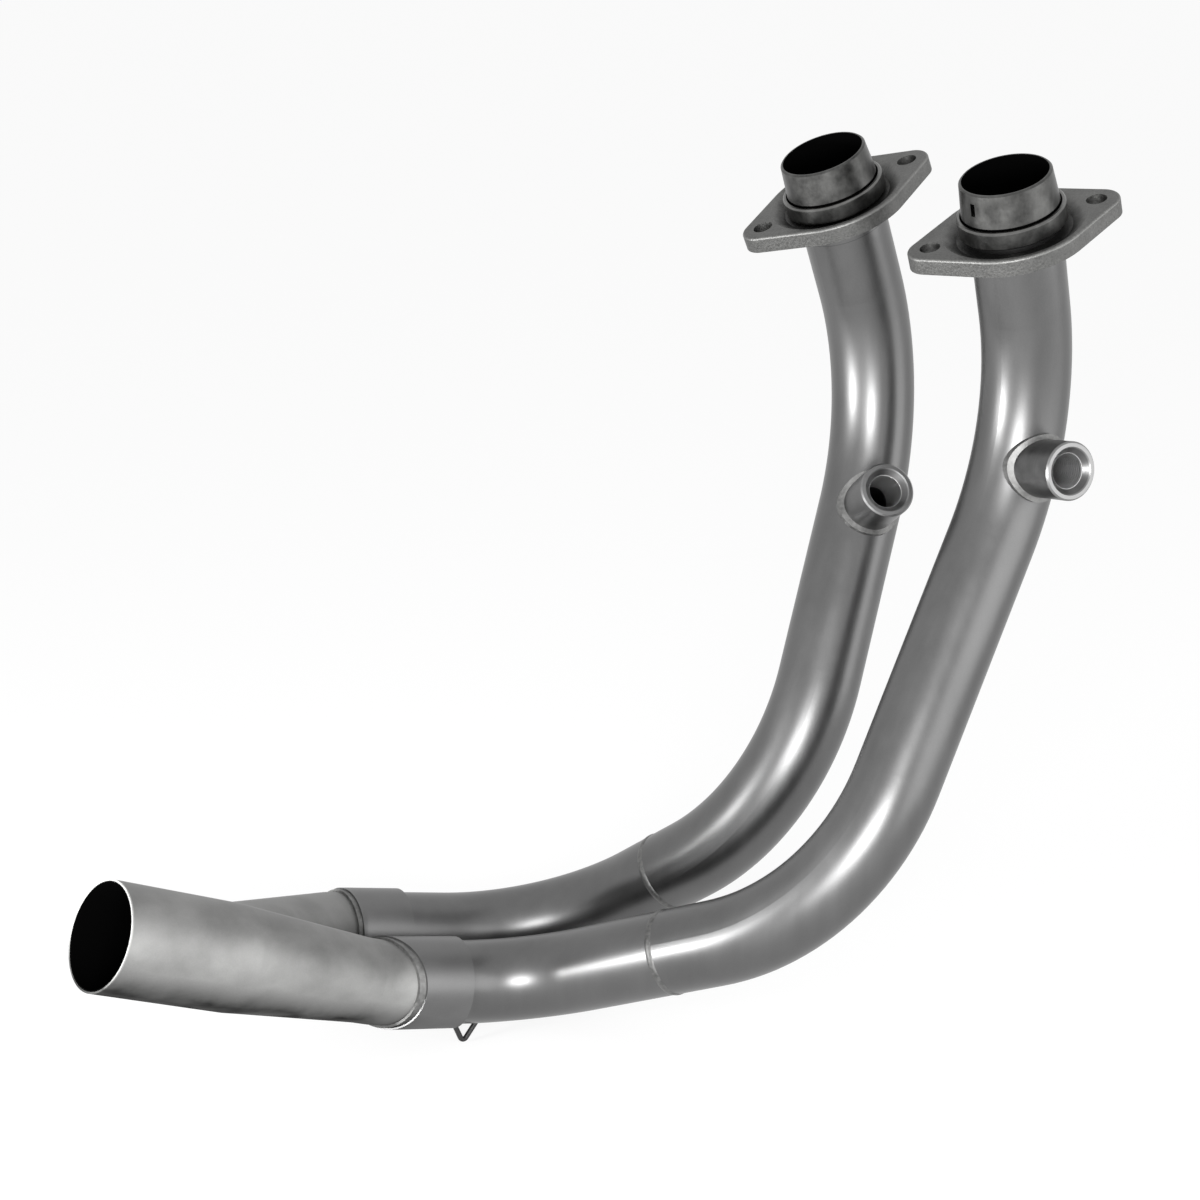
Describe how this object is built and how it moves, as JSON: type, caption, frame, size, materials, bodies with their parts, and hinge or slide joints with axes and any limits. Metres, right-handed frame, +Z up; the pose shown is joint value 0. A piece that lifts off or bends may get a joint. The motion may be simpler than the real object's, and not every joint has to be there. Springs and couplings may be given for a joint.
{
  "type": "exhaust header",
  "caption": "Exhaust header for a motorcycle twin: bent pipes with dished port flanges and sensor bosses slip into the sockets of a merge collector with a single outlet.",
  "frame": {"origin": "centre of the collector's open outlet mouth", "axes": "+X to the front of the machine, from the outlet towards the port flanges; +Y to the machine's left, from the right pipe to the left pipe; +Z up"},
  "size_m": [0.4457, 0.2935, 0.4435],
  "materials": {
    "tube_steel": "satin stainless tube",
    "collector_steel": "matt, slightly mottled stainless sheet",
    "socket_steel": "satin stainless sleeve",
    "flange_steel": "grainy bead-blasted plate",
    "spigot_steel": "mottled brushed steel",
    "boss_steel": "turned steel",
    "weld_bead": "bright weld metal",
    "hook_wire": "black wire"
  },
  "bodies": {
    "root": {"collector": "collector_steel", "right_port_stub": "tube_steel", "right_upper_pipe": "tube_steel", "right_middle_pipe": "tube_steel", "right_lower_pipe": "tube_steel", "right_pipe_weld": "weld_bead", "right_spigot": "spigot_steel", "right_collar_ring": "spigot_steel", "right_flange_plate": "flange_steel", "right_flange_weld": "weld_bead", "right_sensor_boss": "boss_steel", "right_boss_weld": "weld_bead", "right_socket": "socket_steel", "right_socket_weld": "weld_bead", "right_spring_hook": "hook_wire", "left_port_stub": "tube_steel", "left_upper_pipe": "tube_steel", "left_middle_pipe": "tube_steel", "left_lower_pipe": "tube_steel", "left_pipe_weld": "weld_bead", "left_spigot": "spigot_steel", "left_collar_ring": "spigot_steel", "left_flange_plate": "flange_steel", "left_flange_weld": "weld_bead", "left_sensor_boss": "boss_steel", "left_boss_weld": "weld_bead", "left_socket": "socket_steel", "left_socket_weld": "weld_bead", "left_spring_hook": "hook_wire"}
  },
  "joints": []
}
